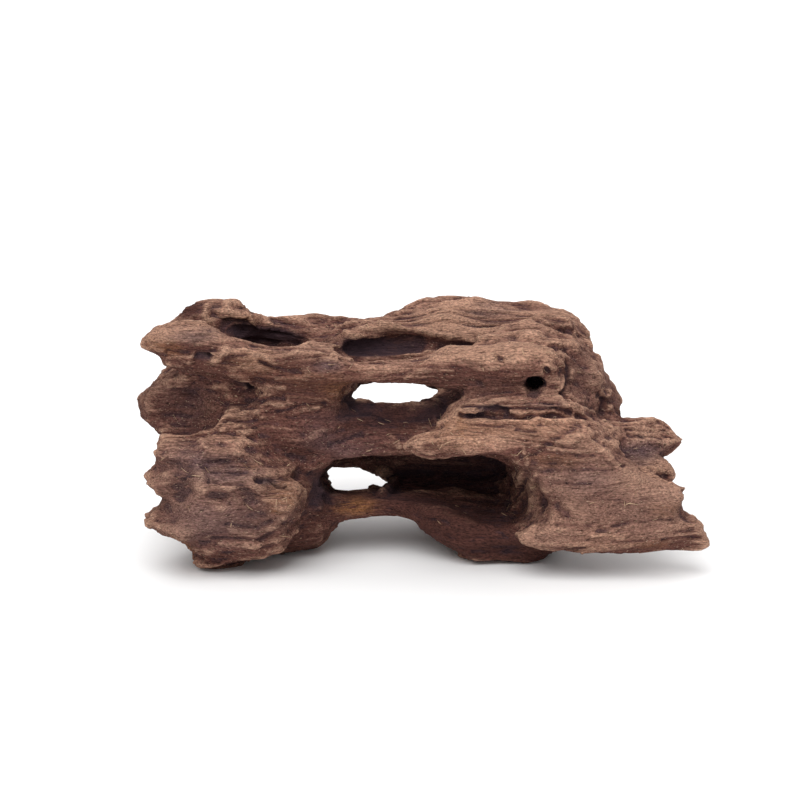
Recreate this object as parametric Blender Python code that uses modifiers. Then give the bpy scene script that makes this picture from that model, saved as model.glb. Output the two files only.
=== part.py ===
"""Honeycomb driftwood: one weathered block of root wood, grain along X, with hollows worn right through it.

X runs along the grain, Y from the front to the back, +Z up. The origin is on the floor, under the middle of
the wood. The tables are in millimetres.
"""

import bpy
import bmesh
import numpy as np
from mathutils import Matrix, noise

MM = 0.001

FUSE_VOXEL = 2.0        # mesh size at which the lumps grow together
RELIEF_VOXEL = 1.4      # mesh size of the worn surface
RING_POINTS = 32        # points round each section of a lump
STEPS = 4               # rings between two rows of a table
TRIANGLES = 11500
SHARP = np.radians(28)  # edges bent more than this stay sharp
GRAIN_DEPTH = 2.7       # depth of the ridges along the grain
LAYER_DEPTH = 1.2       # depth of the thinner layers
LEDGE_DEPTH = 1.5       # depth of the ledges where layers end
SCOOP_DEPTH = 3.4       # depth of the worn scoops
SWELL = 1.4             # slow swelling of the whole surface
END_DEPTH = 4.0         # how unevenly the fibre bundles break off
LAYER = 9.0             # height of one layer
CENTRE = (-3.5, -1.3)   # the middle of the wood in the tables, along X and Y

# Sizes of the relief's features along X, Y and Z
BEND_SIZE = (50, 26, 22)
BEND = (8, 4, 4)        # how far the grain wanders from a straight line
PATCH_SIZE = (60, 45, 40)
GRAIN_SIZE = (62, 16, 13)
LAYER_SIZE = (80, 34, 8)
SCOOP_SIZE = (30, 17, 14)
BUNDLE_SIZE = (90, 10, 6.5)

FLOOR_BLOCK = (400, 300, 100)
WOOD_BROWN = (0.186, 0.102, 0.061, 1)
WOOD_ROUGHNESS = 0.85

# Each lump is a list of sections across one axis. A row is the section's place on that axis, then its low
# and high ends on the two other axes, in the order X, Y, Z.
LUMPS = {
    "front_beam": ("X", 2.6, [
        (-145, -31, -26, 112, 115.5),
        (-139, -36, -20, 110, 120.5),
        (-131, -38, -15, 108, 123),
        (-124, -38, -14, 104, 124),
        (-114, -38, -15, 100, 124),
        (-103, -38, -17, 98, 120),
        (-94, -38, -18, 97, 116.5),
        (-78, -40, -19, 96, 113),
        (-63, -41, -20, 95, 112),
        (-46, -41, -24, 95, 110.5),
        (-36, -41, -26, 95, 107.5),
        (-8, -41, -26, 95, 108),
        (7, -41, -24, 92, 112),
        (17, -41, -14, 91, 114),
        (37, -41, 5, 90, 116.5),
        (52, -41, 5, 89, 117.5),
        (62, -40, 5, 88, 114),
        (68, -35, 0, 88, 109.5),
    ]),
    "prong_tooth": ("X", 2.2, [
        (-134, -30, -22, 103, 108),
        (-129, -33, -18, 101, 110),
        (-115, -35, -10, 96, 112),
    ]),
    "left_wall": ("Z", 3.2, [
        (38, -90, -56, -30, 40),
        (46, -104, -50, -34, 42),
        (56, -112, -42, -38, 42),
        (64, -110, -38, -39, 42),
        (72, -107, -38, -39, 42),
        (78, -102, -38, -39, 42),
        (84, -94, -38, -39, 42),
        (90, -88, -38, -39, 42),
        (97, -92, -38, -39.5, 40),
        (103, -104, -40, -40, 36),
        (108, -104, -44, -39, 4),
    ]),
    "mid_left_lobe": ("Z", 2.4, [
        (54, -128, -90, -18, 20),
        (59, -136, -88, -22, 20),
        (64, -141, -86, -24, 18),
        (68, -145, -86, -25, 16),
        (73, -149, -86, -25, 15),
        (77, -149.5, -86, -25, 14),
        (83, -145.5, -86, -26, 14),
        (91, -139, -86, -27, 16),
        (97, -129, -88, -28, 20),
        (100, -120, -90, -28, 24),
        (106, -112, -92, -26, 28),
    ]),
    "back_beam": ("X", 3.0, [
        (-96, 26, 46, 84, 100),
        (-87, 22, 54, 76, 110.5),
        (-70, 20, 58, 72, 111.5),
        (-43, 22, 60, 70, 111.5),
        (-21, 26, 60, 68, 115),
        (5, 29, 61, 64, 121),
        (24, 30, 61, 60, 123.5),
        (40, 30, 60, 58, 122),
        (59, 28, 58, 56, 118.5),
        (75, 22, 55, 56, 114.5),
        (82, 18, 52, 60, 111.5),
        (88, 16, 44, 66, 106),
    ]),
    "back_middle_step": ("X", 2.8, [
        (-60, 16, 36, 74, 108),
        (-30, 15, 40, 74, 112.5),
        (-8, 14, 42, 74, 116),
        (20, 14, 42, 74, 117.5),
        (50, 12, 42, 70, 117),
        (70, 8, 40, 66, 114),
        (86, 6, 34, 66, 107),
    ]),
    "back_front_step": ("X", 2.8, [
        (-50, 6, 26, 76, 106),
        (-34, 5, 28, 76, 112.5),
        (-13, 4, 28, 76, 115),
        (10, 3, 28, 76, 113.5),
        (34, -2, 28, 70, 113),
        (60, -8, 28, 66, 112),
        (78, -10, 26, 66, 108),
    ]),
    "back_shelf": ("X", 2.6, [
        (-126, 38, 46, 66, 71),
        (-118, 34, 52, 62, 74),
        (-100, 32, 60, 58, 78),
        (-70, 30, 65, 56, 80),
        (-52, 34, 62, 58, 76),
        (-46, 40, 54, 62, 72),
    ]),
    "back_right_buttress": ("Z", 2.8, [
        (-3, 28, 64, 26, 46),
        (4, 20, 74, 22, 52),
        (14, 16, 84, 18, 57),
        (24, 14, 92, 16, 61),
        (31, 10, 99, 14, 63),
        (36, 13, 97, 14, 64),
        (43, 10, 104, 14, 62),
        (50, 20, 96, 14, 57),
        (56, 30, 88, 14, 50),
    ]),
    "back_left_foot": ("Z", 2.8, [
        (-3, -100, -70, 28, 46),
        (4, -110, -64, 22, 52),
        (13, -116, -60, 20, 57),
        (21, -122, -58, 20, 60),
        (26, -117, -58, 20, 60),
        (33, -123, -60, 20, 58),
        (40, -118, -66, 20, 54),
        (48, -108, -74, 20, 48),
    ]),
    "back_left_crest": ("X", 2.4, [
        (-139, 22, 30, 104, 111),
        (-132, 18, 36, 92, 117),
        (-124, 16, 38, 80, 122.5),
        (-116, 14, 39, 74, 125.5),
        (-101, 14, 40, 72, 124.5),
        (-94, 14, 42, 74, 122.5),
        (-88, 15, 44, 76, 117),
        (-82, 17, 46, 78, 111.5),
    ]),
    "right_end": ("Z", 2.6, [
        (50, 40, 90, -14, 44),
        (58, 40, 97, -20, 44),
        (65, 40, 100, -22, 44),
        (71, 40, 102, -24, 44),
        (76, 40, 101, -26, 44),
        (84, 40, 98, -28, 44),
        (88, 40, 93, -30, 44),
        (91, 40, 92, -30, 44),
        (95, 40, 92.5, -30, 44),
        (100, 40, 88, -28, 42),
        (104, 40, 84, -26, 40),
        (108, 40, 80, -24, 38),
        (111, 40, 80, -20, 34),
        (114, 42, 81, -6, 30),
        (117, 50, 78, 4, 24),
    ]),
    "mid_beam": ("X", 2.8, [
        (-100, -34, 40, 40, 86),
        (-62, -36, 46, 36, 84),
        (-40, -35, 50, 30, 84),
        (-16, -34, 52, 26, 84),
        (6, -33, 52, 22, 88),
        (24, -31, 52, 18, 98),
        (60, -29, 52, 14, 100),
        (84, -22, 46, 18, 92),
    ]),
    "lower_left_knuckle": ("Z", 2.7, [
        (-4, -112, -96, -38, -26),
        (1, -115, -93, -43, -22),
        (6, -118, -88, -52, -20),
        (10, -121, -76, -57, -15),
        (14, -126, -69, -60, -12),
        (20, -130, -69.5, -62.5, -10),
        (25, -134, -66, -63.5, -8),
        (30, -135, -65, -64, -8),
        (35, -134, -61, -64, -8),
        (40, -134, -61, -64, -10),
        (46, -136, -61.5, -63.5, -10),
        (50, -136, -65, -63, -10),
        (55, -136, -67.5, -61, -10),
        (59, -136, -71, -58, -12),
        (64, -134, -75, -54, -14),
        (68, -131, -84, -49, -16),
        (70, -122, -93, -44, -20),
    ]),
    "knuckle_low_tooth": ("X", 2.2, [
        (-143, -50, -42, 26, 30),
        (-139, -56, -34, 23, 32.5),
        (-128, -63, -26, 19, 34),
        (-112, -66, -26, 18, 34),
        (-96, -66.5, -28, 16, 30),
        (-84, -64, -30, 14, 26),
    ]),
    "knuckle_mid_tooth": ("X", 2.2, [
        (-142, -48, -38, 45, 50),
        (-138, -54, -30, 43, 53),
        (-127, -61, -24, 42, 55),
        (-112, -65, -24, 42, 57),
        (-96, -67, -26, 43, 58),
        (-84, -66, -28, 44, 57),
        (-76, -62, -30, 46, 53),
    ]),
    "knuckle_top_ledge": ("X", 2.8, [
        (-137, -46, -26, 58, 63),
        (-133, -54, -20, 59, 69),
        (-118, -57, -16, 59, 71),
        (-100, -56, -14, 60, 72),
        (-88, -52, -14, 60, 71),
        (-78, -46, -16, 60, 66),
    ]),
    "knuckle_right_boss": ("Z", 2.4, [
        (12, -82, -70, -54, -26),
        (18, -86, -67, -60, -20),
        (28, -88, -64, -64, -16),
        (36, -88, -59.5, -65, -14),
        (42, -87, -59, -65, -14),
        (47, -84, -62, -62, -18),
    ]),
    "left_heel": ("X", 3.4, [
        (-114, -30, 46, 6, 60),
        (-100, -34, 48, -2, 60),
        (-84, -36, 48, -3, 60),
        (-70, -36, 46, -2, 58),
        (-60, -34, 40, -1, 52),
        (-53, -32, 30, 2, 44),
    ]),
    "low_sill": ("X", 2.4, [
        (-70, -30, 6, 8, 34),
        (-52, -28, 2, 12, 33),
        (-36, -26, 2, 18, 32),
        (-20, -26, 4, 21, 32),
        (-8, -30, 8, 18, 34),
        (6, -34, 16, 8, 36),
    ]),
    "right_foot": ("X", 3.6, [
        (-6, -30, 30, 18, 36),
        (2, -36, 40, 11, 38),
        (11, -41, 48, 5, 40),
        (17, -43, 48, 1, 42),
        (24, -45, 48, -3, 46),
        (44, -46, 48, -4, 56),
        (58, -46, 48, -3, 60),
        (68, -40, 46, 1, 62),
        (84, -20, 38, 18, 62),
    ]),
    "right_beam": ("X", 3.0, [
        (-14, -57, -54, 65, 67),
        (-6, -60, -48, 63, 71),
        (2, -62, -42, 61.5, 74),
        (9, -63, -36, 61.5, 76),
        (16, -64, -30, 62, 77),
        (24, -64.5, -24, 62, 78),
        (33, -64, -20, 63, 78),
        (42, -64, -20, 60, 79),
        (50, -64, -20, 54, 80),
        (70, -64, -20, 54, 81),
        (88, -60, -20, 50, 78),
        (98, -52, -20, 54, 74),
    ]),
    "beam_cap": ("X", 3.4, [
        (6, -50, -38, 74, 79),
        (12, -53, -30, 72, 84),
        (18, -54, -24, 72, 88.5),
        (26, -54, -20, 72, 90),
        (46, -54, -20, 72, 91),
        (66, -53, -20, 72, 90.5),
        (76, -50, -20, 72, 88),
        (86, -44, -20, 68, 82),
    ]),
    "plate": ("Z", 3.2, [
        (13, 66, 106, -58, -48),
        (15.5, 54, 136, -63, -46),
        (19, 46, 145, -65, -45),
        (22, 45, 142.5, -65.5, -44),
        (27, 50, 139, -66, -44),
        (30, 56, 137, -66, -44),
        (32, 60, 127, -66.5, -43),
        (38, 62, 128.5, -67, -42),
        (44.5, 56, 131, -67, -42),
        (48, 54, 123, -67, -42),
        (51, 53, 117, -67, -42),
        (56, 52, 107, -67, -42),
        (62, 54, 97, -66.5, -40),
        (68, 58, 91, -66, -38),
        (74, 62, 84, -64, -36),
        (78, 68, 79, -60, -38),
    ]),
    "spur_high": ("X", 2.6, [
        (84, -36, 0, 52, 77),
        (100, -34, -4, 50, 73),
        (110, -32, -6, 49, 71),
        (123, -28, -10, 52, 69),
        (131, -22, -16, 57, 62),
    ]),
    "spur_low": ("X", 2.6, [
        (80, -48, -10, 26, 58),
        (96, -47, -14, 28, 56.5),
        (109, -46, -18, 32, 55.5),
        (121, -43, -24, 36, 54),
        (126, -38, -30, 42, 50),
    ]),
}

# Hollows worn through the block, in the same form.
HOLLOWS = {
    "upper_tunnel": ("Y", 1.8, [
        (-60, -39, 8, 91, 102),
        (-40, -35.5, 3, 87, 96),
        (-26, -36, 3, 83.5, 92.5),
        (-14, -39, 7, 77.5, 91),
        (0, -41, 11, 70, 88),
        (20, -43, 13, 62, 86),
        (45, -43, 11, 55, 81),
        (80, -46, 14, 46, 74),
    ]),
    "lower_tunnel": ("Y", 1.7, [
        (-80, -56, -20, 36, 60),
        (-20, -56, -20, 31, 52),
        (20, -54.5, -25, 22.5, 37),
        (40, -56, -24, 5, 29.5),
        (60, -60, -16, -20, 24),
        (80, -64, -12, -30, 20),
    ]),
    "long_cavity": ("Y", 2.8, [
        (-84, -24, 66, 30, 62),
        (-64, -32, 59, 31, 59),
        (-50, -46, 53, 31, 58.5),
        (-36, -53, 48, 31, 58),
        (-10, -56, 45, 30, 54),
        (10, -54, 42, 27, 50),
        (20, -46, 36, 28, 45),
    ]),
    "cavity_floor": ("X", 2.6, [
        (-20, -50, 6, 32, 44),
        (4, -62, 10, 28.5, 50),
        (24, -66, 10, 24, 50),
        (38, -66, 4, 21, 50),
        (48, -62, -20, 24, 48),
        (55, -56, -36, 30, 44),
    ]),
    "top_left_hollow": ("Z", 2.2, [
        (76, -94, -76, -4, 8),
        (86, -102, -68, -12, 12),
        (98, -110, -64, -16, 15),
        (110, -114, -62, -18, 16),
        (122, -118, -58, -19, 18),
        (140, -126, -56, -20, 20),
    ]),
    "top_middle_hollow": ("Z", 2.2, [
        (100, -26, -4, -12, -2),
        (102, -40, 12, -20, 6),
        (104, -46, 22, -24, 10),
        (108, -48, 26, -25, 11),
        (116, -50, 32, -26, 12),
        (126, -54, 38, -27, 14),
        (140, -58, 44, -28, 16),
    ]),
    "left_undercut": ("X", 2.2, [
        (-106, -14, 16, 98, 114),
        (-93, -17, 27, 96, 113),
        (-80, -17, 30, 96, 109.5),
        (-66, -14, 26, 98, 108.5),
        (-61, -8, 16, 101, 106),
    ]),
    "middle_undercut": ("X", 2.2, [
        (-45, -18, 8, 101, 107),
        (-32, -24, 18, 100, 109),
        (-8, -24, 20, 100, 110.5),
        (12, -24, 16, 100, 109.5),
        (26, -18, 8, 102, 108.5),
    ]),
    "small_eye": ("Y", 2.2, [
        (-60, 50, 62, 88, 100),
        (-42, 50, 60.5, 89.5, 99),
        (-24, 50, 62, 90, 100),
        (-12, 52, 60, 92, 98),
    ]),
    "floor_arch": ("Y", 2.4, [
        (-80, -51, 3, -40, 20),
        (-20, -51, 1, -40, 20),
        (10, -54, -4, -40, 18),
        (50, -58, -8, -40, 22),
        (80, -64, -4, -40, 24),
    ]),
    "cap_crack": ("X", 2.2, [
        (10, -56, -51, 80, 82),
        (20, -60, -49, 79.5, 83.5),
        (34, -60, -47, 81, 85.5),
        (46, -60, -50, 80.5, 83.5),
        (62, -60, -48, 80.5, 84),
        (76, -58, -47, 80, 83),
        (84, -54, -46, 79, 81),
    ]),
    "top_groove": ("X", 2.0, [
        (-20, 15, 20, 114, 120),
        (-6, 12, 21, 112.5, 121),
        (14, 11, 20, 112, 121),
        (34, 12, 20, 112.5, 121),
        (50, 13, 19, 113, 121),
        (60, 14, 18, 114.5, 120),
    ]),
    "right_foot_groove": ("X", 2.2, [
        (-10, -18, 22, -14, 4),
        (14, -26, 26, -12, 4.5),
        (50, -28, 28, -12, 5),
        (78, -30, 26, -12, 8),
        (100, -34, 24, -14, 12),
    ]),
    "left_foot_groove": ("X", 2.2, [
        (-140, -12, 16, -14, 9),
        (-112, -14, 20, -12, 5),
        (-84, -18, 22, -12, 4.5),
        (-60, -16, 24, -12, 5),
        (-40, -14, 24, -14, 8),
    ]),
    "back_right_slot": ("X", 2.2, [
        (4, 44, 72, 54, 60),
        (16, 36, 78, 50, 67),
        (40, 24, 84, 50, 73),
        (62, 30, 84, 54, 72),
        (84, 34, 84, 58, 68),
        (112, 38, 84, 62, 66),
    ]),
    "back_left_slot": ("X", 2.2, [
        (-150, 26, 60, 48, 56),
        (-120, 26, 74, 46, 60),
        (-96, 22, 80, 44, 58),
        (-76, 30, 80, 44, 55),
        (-62, 40, 76, 46, 52),
    ]),
}

# Small scoops (+ depth) and swellings (- depth) of the surface: centre, radii along X, Y and Z, depth.
DENTS = [
    (-123, -27, 82, 25, 16, 21, 11),
    (-94, -41, 93, 5, 8, 4, -3),
    (-134, -20, 73, 10, 12, 9, 3),
    (-113, -32, 107.5, 6, 12, 2.6, 7),
    (-81, -42, 91.5, 12, 8, 3.4, -4.5),
    (-80, -42, 84, 12, 8, 5, 3),
    (-97, -44, 75.5, 13, 10, 5, -5),
    (-110, -50, 69, 8, 10, 3, -3),
    (-62, -38, 92, 22, 9, 6, 2.5),
    (-28, -38, 74, 26, 12, 9, 3.5),
    (-58, -40, 74, 16, 12, 10, 2),
    (-126, -62, 46, 15, 10, 9, 5),
    (-78, -62, 49, 5, 8, 2.4, 6),
    (-86, -66, 36, 16, 10, 8, 5),
    (-104, -66, 50, 13, 9, 7, -3),
    (-68, -58, 44, 8, 10, 9, -2.5),
    (-120, -64, 26, 12, 10, 8, -3),
    (-100, -64, 20, 14, 10, 6, 2.5),
    (28, -40, 98, 18, 9, 6, 2),
    (10, -42, 92, 16, 9, 7, 2),
    (60, -41, 106, 5, 7, 4, -3),
    (66, -40, 97, 4.5, 8, 5, -4),
    (65, -38, 89, 4.5, 8, 4, -4),
    (61, -41, 101, 2.6, 6, 3, 4),
    (78, -24, 94, 9, 12, 7, 5),
    (90, -14, 80, 9, 14, 6, 4),
    (84, -20, 104, 8, 12, 4, 4),
    (72, 0, 114, 12, 12, 5, 3),
    (35, -52, 86, 8, 8, 3, 5),
    (27, -62, 73, 9, 8, 5, 2),
    (46, -63, 66, 14, 8, 5, 2),
    (92, -46, 71, 12, 14, 11, 6),
    (62, -66, 42, 10, 8, 7, 2.5),
    (57, -64, 36, 9, 7, 5, 3.5),
    (96, -68, 40, 26, 8, 12, 2),
    (112, -36, 60, 16, 12, 5, 2),
    (36, 4, 113, 34, 5, 4, -2.5),
    (10, 30, 119, 30, 6, 4, 2),
    (-20, 34, 115, 30, 7, 4, 2.5),
]

# Parts worn smoother than the rest: centre, radii along X, Y and Z, share of the relief that is gone.
CALM = [
    (98, -66, 40, 64, 30, 38, 0.85),
    (30, -62, 72, 66, 26, 22, 0.75),
    (36, -46, 102, 50, 26, 20, 0.7),
    (-60, -40, 92, 60, 22, 34, 0.7),
    (-130, -30, 116, 30, 20, 18, 0.6),
    (-30, -22, 24, 40, 26, 18, 0.7),
    (-16, -36, 100, 40, 22, 16, 0.6),
]


def spread(rows):
    """The rows of a table with smooth steps added between them."""
    rows = np.array(rows, float)
    padded = np.vstack([2 * rows[0] - rows[1], rows, 2 * rows[-1] - rows[-2]])
    out = []
    for a, b, c, d in zip(padded, padded[1:], padded[2:], padded[3:]):
        for t in np.linspace(0, 1, STEPS, endpoint=False):
            out.append(0.5 * (2 * b + (c - a) * t + (2 * a - 5 * b + 4 * c - d) * t ** 2
                              + (3 * b - a - 3 * c + d) * t ** 3))
    out.append(rows[-1])
    out = np.array(out)
    out[:, 0] = np.maximum.accumulate(out[:, 0])
    return out


def lump(axis, squareness, rows):
    """Closed loft through superellipse sections: (points in mm, faces)."""
    rows = spread(rows)
    angle = np.linspace(0, 2 * np.pi, RING_POINTS, endpoint=False)
    power = 2 / squareness
    across = np.sign(np.cos(angle)) * np.abs(np.cos(angle)) ** power
    upward = np.sign(np.sin(angle)) * np.abs(np.sin(angle)) ** power
    order = {"X": (0, 1, 2), "Y": (1, 0, 2), "Z": (2, 0, 1)}[axis]
    points = np.zeros((len(rows), RING_POINTS, 3))
    for ring, (place, u_low, u_high, v_low, v_high) in zip(points, rows):
        ring[:, order[0]] = place
        ring[:, order[1]] = (u_low + u_high + (u_high - u_low) * across) / 2
        ring[:, order[2]] = (v_low + v_high + (v_high - v_low) * upward) / 2
    faces = []
    for ring in range(len(rows) - 1):
        for k in range(RING_POINTS):
            after = (k + 1) % RING_POINTS
            here, there = ring * RING_POINTS, (ring + 1) * RING_POINTS
            faces.append((here + k, here + after, there + after, there + k))
    faces.append(tuple(reversed(range(RING_POINTS))))
    faces.append(tuple(range((len(rows) - 1) * RING_POINTS, len(rows) * RING_POINTS)))
    return points.reshape(-1, 3), faces


def joined(name, table, collection):
    """One object that holds every loft of a table."""
    mesh = bpy.data.meshes.new(name)
    points, faces = [], []
    for axis, squareness, rows in table.values():
        more, sides = lump(axis, squareness, rows)
        start = sum(map(len, points))
        faces += [tuple(i + start for i in side) for side in sides]
        points.append(more)
    mesh.from_pydata((np.vstack(points) * MM).tolist(), [], faces)
    bm = bmesh.new()
    bm.from_mesh(mesh)
    bmesh.ops.recalc_face_normals(bm, faces=bm.faces)
    bm.to_mesh(mesh)
    bm.free()
    made = bpy.data.objects.new(name, mesh)
    collection.objects.link(made)
    return made


def helper(obj):
    """Marks an object that only cuts: drawn as wires, never rendered."""
    obj.hide_render = True
    obj.display_type = "WIRE"


def block(name, size, collection):
    """A box whose top face is the floor."""
    mesh = bpy.data.meshes.new(name)
    bm = bmesh.new()
    bmesh.ops.create_cube(bm, size=1)
    bm.to_mesh(mesh)
    bm.free()
    scale = Matrix.Diagonal((*(side * MM for side in size), 1))
    mesh.transform(Matrix.Translation((0, 0, -size[2] * MM / 2)) @ scale)
    made = bpy.data.objects.new(name, mesh)
    collection.objects.link(made)
    return made


def weathered_wood():
    made = bpy.data.materials.new("weathered_wood")
    made.use_nodes = True
    shader = made.node_tree.nodes["Principled BSDF"]
    shader.inputs["Base Color"].default_value = WOOD_BROWN
    shader.inputs["Roughness"].default_value = WOOD_ROUGHNESS
    shader.inputs["Metallic"].default_value = 0.0
    return made


def settle(obj):
    """Replaces an object's mesh with what its modifiers make of it."""
    graph = bpy.context.evaluated_depsgraph_get()
    made = bpy.data.meshes.new_from_object(obj.evaluated_get(graph))
    obj.modifiers.clear()
    obj.data = made


def remesh(obj, voxel, smooth=0):
    modifier = obj.modifiers.new("fuse", "REMESH")
    modifier.mode = "VOXEL"
    modifier.voxel_size = voxel * MM
    if smooth:
        rounding = obj.modifiers.new("rounding", "SMOOTH")
        rounding.factor = 0.5
        rounding.iterations = smooth
    settle(obj)


def ridged(points, scale, octaves):
    """Sharp ridges of noise, about -1 to 0.7, stretched to a scale in mm along each axis."""
    places = (points / np.array(scale)).tolist()
    return np.array([noise.ridged_multi_fractal(p, 1.0, 2.0, octaves, 1.0, 2.0) for p in places]) - 1


def cloudy(points, scale, octaves):
    """Soft noise, about -1 to 1."""
    places = (points / np.array(scale)).tolist()
    return np.array([noise.fractal(p, 1.0, 2.0, octaves) for p in places])


def scooped(points, scale):
    """Hollows like cells, about -0.5 in their middles to 0.5 at the rims between them."""
    places = (points / np.array(scale)).tolist()
    return np.array([noise.voronoi(p)[0][0] for p in places]) * 1.2 - 0.55


def stepped(points, warp):
    """Layers of wood that end in ledges: a saw over the height, about -0.5 to 0.5."""
    height = (points[:, 2] + 0.35 * points[:, 1] + 5 * warp) / LAYER
    share = height - np.floor(height)
    return np.where(share < 0.85, share / 0.85, (1 - share) / 0.15) - 0.5


def zones(points, table):
    """The sum over a table of bumps: centre, radii along X, Y and Z, height."""
    total = np.zeros(len(points))
    for x, y, z, rx, ry, rz, height in table:
        r2 = (((points - (x, y, z)) / (rx, ry, rz)) ** 2).sum(axis=1)
        total += height * np.where(r2 < 1, (1 - r2) ** 2, 0)
    return total


def relief(points, normals):
    """Where the worn surface lies: points moved by dents, ridges, scoops, ledges and broken fibre ends."""
    along = np.clip(np.abs(normals[:, 0]), 0, 1)
    side = np.sqrt(1 - along ** 2)
    warp = np.stack([cloudy(points + 40 * k, BEND_SIZE, 2) for k in (1, 2, 3)], axis=1)
    rough = 1 + 0.6 * cloudy(points + 900, PATCH_SIZE, 1) - zones(points, CALM)
    rough = np.clip(rough, 0.15, 1.4)
    bent = points + warp * BEND
    grain = ridged(bent, GRAIN_SIZE, 3)
    layers = ridged(bent + 300, LAYER_SIZE, 2)
    scoops = scooped(bent + 700, SCOOP_SIZE)
    bundles = cloudy(bent + 500, BUNDLE_SIZE, 3)
    ledges = stepped(points, warp[:, 2])
    outward = (GRAIN_DEPTH * grain + LAYER_DEPTH * layers + LEDGE_DEPTH * ledges) * side
    outward += SCOOP_DEPTH * scoops + SWELL * warp[:, 0]
    moved = points + normals * (outward * rough - zones(points, DENTS))[:, None]
    moved[:, 0] += END_DEPTH * bundles * np.sign(normals[:, 0]) * along ** 1.5 * rough
    return moved


def wear(obj):
    mesh = obj.data
    points = np.empty(len(mesh.vertices) * 3)
    normals = np.empty(len(mesh.vertices) * 3)
    mesh.vertices.foreach_get("co", points)
    mesh.vertices.foreach_get("normal", normals)
    moved = relief(points.reshape(-1, 3) / MM, normals.reshape(-1, 3)) * MM
    mesh.vertices.foreach_set("co", moved.ravel())
    mesh.update()


def largest_body(obj):
    """Keeps the biggest connected piece of a mesh: crumbs and sealed bubbles go."""
    bm = bmesh.new()
    bm.from_mesh(obj.data)
    unseen = set(bm.verts)
    bodies = []
    while unseen:
        front = [unseen.pop()]
        body = list(front)
        while front:
            vert = front.pop()
            for edge in vert.link_edges:
                other = edge.other_vert(vert)
                if other in unseen:
                    unseen.remove(other)
                    body.append(other)
                    front.append(other)
        bodies.append(body)
    bodies.sort(key=len)
    bmesh.ops.delete(bm, geom=[v for body in bodies[:-1] for v in body], context="VERTS")
    bm.to_mesh(obj.data)
    bm.free()


def main():
    for old in list(bpy.data.objects):
        bpy.data.objects.remove(old)
    collection = bpy.data.collections.new("honeycomb_wood")
    cutters = bpy.data.collections.new("cutters")
    bpy.context.scene.collection.children.link(collection)
    bpy.context.scene.collection.children.link(cutters)
    wood = joined("honeycomb_wood", LUMPS, collection)
    remesh(wood, FUSE_VOXEL, 2)
    cutter = joined("hollows", HOLLOWS, cutters)
    remesh(cutter, FUSE_VOXEL, 2)
    helper(cutter)
    cut = wood.modifiers.new("cut", "BOOLEAN")
    cut.operation = "DIFFERENCE"
    cut.object = cutter
    settle(wood)
    remesh(wood, RELIEF_VOXEL, 1)
    wear(wood)
    remesh(wood, RELIEF_VOXEL)
    largest_body(wood)
    thin = wood.modifiers.new("thin", "DECIMATE")
    thin.ratio = TRIANGLES / (2 * len(wood.data.polygons))
    settle(wood)
    floor = block("floor_cutter", FLOOR_BLOCK, cutters)
    helper(floor)
    cut = wood.modifiers.new("flat_feet", "BOOLEAN")
    cut.operation = "DIFFERENCE"
    cut.object = floor
    settle(wood)
    largest_body(wood)
    for made in (wood, cutter):
        made.data.transform(Matrix.Translation((-CENTRE[0] * MM, -CENTRE[1] * MM, 0)))
    wood.data.shade_smooth()
    wood.data.set_sharp_from_angle(angle=SHARP)
    wood.data.materials.clear()
    wood.data.materials.append(weathered_wood())


main()
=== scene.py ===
"""Looks of the honeycomb driftwood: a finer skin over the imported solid, its wood, loose fibres, a studio.

Lengths are millimetres in the part's own frame: X along the grain, Y to the back, Z up. Places on the front
are given as pixels of the photograph, 810 wide and 810 high, and found by looking through the camera.
"""

import math
import random

import bpy
import numpy as np
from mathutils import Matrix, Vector, noise
from mathutils.bvhtree import BVHTree


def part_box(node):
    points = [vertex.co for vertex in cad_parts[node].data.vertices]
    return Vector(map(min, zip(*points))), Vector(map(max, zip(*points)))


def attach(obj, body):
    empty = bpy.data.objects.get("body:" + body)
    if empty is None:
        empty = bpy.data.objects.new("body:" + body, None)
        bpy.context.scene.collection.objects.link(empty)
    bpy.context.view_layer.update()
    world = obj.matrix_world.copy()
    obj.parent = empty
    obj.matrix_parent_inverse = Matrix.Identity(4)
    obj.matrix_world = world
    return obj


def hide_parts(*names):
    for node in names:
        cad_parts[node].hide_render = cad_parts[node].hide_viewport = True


MM = 0.001

# The camera of the photograph
PHOTO_SIDE = 810
CAMERA_AT = (-7.0, -1061.2, 359.3)
CAMERA_TARGET = (-7.0, 1.3, 74.6)
LENS = 93.55
SENSOR = 36
VIEW_END = 100          # how far the camera sees, in metres

# The mesh of the skin
SKIN_VOXEL = 0.8        # mesh size before it is thinned
SKIN_TRIANGLES = 198000
EASING = 2              # rounds of smoothing that hide the solid's facets
EASING_FACTOR = 0.5
MARGIN = 0.02           # how far inside the solid's box the pieces stay

# The features of the relief: depths, and sizes along X, Y and Z
BEND_SIZE = (70, 30, 26)
BEND = (8, 4.5, 4.5)    # how far the grain wanders from a straight line
GRAIN_DEPTH, GRAIN_SIZE = 0.32, (40, 5.5, 4.5)
THREAD_DEPTH, THREAD_SIZE = 0.34, (22, 2.6, 2.3)
BUNDLE_DEPTH, BUNDLE_SIZE = 0.5, (26, 6, 4.2)
SPLINTER_DEPTH, SPLINTER_SIZE = 0.26, (11, 2.7, 2.1)
CRACK_DEPTH, CRACK_SIZE = 0.8, (50, 12, 9)
PIT_DEPTH, PIT_SIZE = 0.7, (9, 5, 4.5)
CRUMB_DEPTH, CRUMB_SIZE = 0.5, (3.2, 2.4, 2.4)
END_DEPTH, END_SIZE = 0.5, (40, 5.5, 4.2)

# Seams between bundles and between splinters: their widths are shares of a cell
SEAM_DEPTH, SEAM_WIDTH = 0.15, 0.14
THIN_SEAM_DEPTH, THIN_SEAM_WIDTH = 0.5 * SEAM_DEPTH, 0.2

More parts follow.
